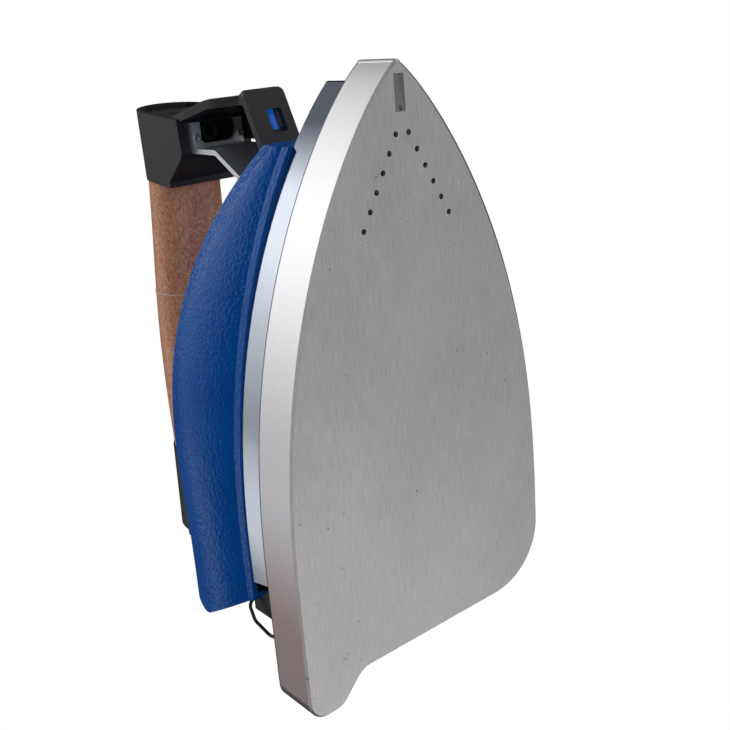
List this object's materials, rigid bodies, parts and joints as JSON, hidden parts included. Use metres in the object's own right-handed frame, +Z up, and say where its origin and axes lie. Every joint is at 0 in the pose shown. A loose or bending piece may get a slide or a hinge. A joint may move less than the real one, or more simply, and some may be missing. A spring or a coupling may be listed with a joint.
{
  "type": "steam generator iron",
  "caption": "Laundry steam iron with a thick brushed soleplate, bright side cover, domed heat shield and a raised cork handle on two strip brackets.",
  "frame": {"origin": "middle of the sole's face, half way from the tip to the heel", "axes": "+Z up from the sole to the handle, -Y towards the tip, +X to the right when seen from the heel"},
  "size_m": [0.1214, 0.231, 0.179],
  "materials": {
    "cast_aluminium": "brushed",
    "heater_steel": "satin",
    "silicone_seal": "matte",
    "plain_steel": "satin",
    "pipe_copper": "satin",
    "nozzle_brass": "satin",
    "white_ceramic": "semi-gloss",
    "bright_chrome": "polished",
    "blue_plastic": "grained",
    "black_plastic": "matte",
    "dial_plastic": "semi-gloss",
    "grey_sheet": "satin",
    "grip_cork": "fine grained",
    "clear_film": "clear gloss",
    "lamp_blue": "clear gloss",
    "button_red": "semi-gloss",
    "lead_sleeve": "satin"
  },
  "bodies": {
    "iron_body": {"soleplate": "cast_aluminium", "heating_element": "heater_steel", "heater_terminals": "plain_steel", "chamber_gasket": "silicone_seal", "chamber_lid": "plain_steel", "lid_screws": "plain_steel", "steam_pipe": "pipe_copper", "hose_nipple": "nozzle_brass", "thermostat_body": "white_ceramic", "thermostat_screws": "plain_steel", "thermal_fuse": "plain_steel", "fuse_screw": "plain_steel", "body_cover": "bright_chrome", "cover_pillars": "plain_steel", "bracket_screws": "plain_steel", "shield_posts": "black_plastic", "heat_shield": "blue_plastic", "front_bracket": "grey_sheet", "rear_bracket": "grey_sheet", "front_cap": "black_plastic", "switch_cover": "black_plastic", "lead_nut": "black_plastic", "tab_screws": "plain_steel", "steam_switch": "black_plastic", "button_spring": "plain_steel", "handle_tube": "plain_steel", "handle_rod": "plain_steel", "handle_nuts": "plain_steel", "cork_grip": "grip_cork", "grip_film": "clear_film", "rear_cap": "black_plastic", "pilot_lamp": "lamp_blue", "lamp_holder": "black_plastic", "terminal_box": "black_plastic", "box_screws": "plain_steel", "cable_gland": "black_plastic", "heater_lead": "lead_sleeve"},
    "button": {"steam_button": "button_red"},
    "plunger": {"switch_plunger": "button_red"},
    "dial": {"thermostat_dial": "dial_plastic", "thermostat_spindle": "plain_steel"}
  },
  "joints": [
    {"name": "button_press", "type": "slide", "parent": "iron_body", "child": "button", "axis": [0, 0, -1], "range_m": [0, 0.0018], "stiffness_N_per_m": 600, "springref_m": -0.002, "deforming": ["button_spring"]},
    {"name": "plunger_press", "type": "slide", "parent": "iron_body", "child": "plunger", "axis": [0, 0, -1], "range_m": [0, 0.0018]},
    {"name": "dial_turn", "type": "hinge", "parent": "iron_body", "child": "dial", "pos_m": [0, 0.01465, 0.0858], "axis": [0, 0, 1], "range_deg": [0, 270]}
  ],
  "couplings": [
    {"joint": "plunger_press", "follows": "button_press", "ratio": 1}
  ]
}
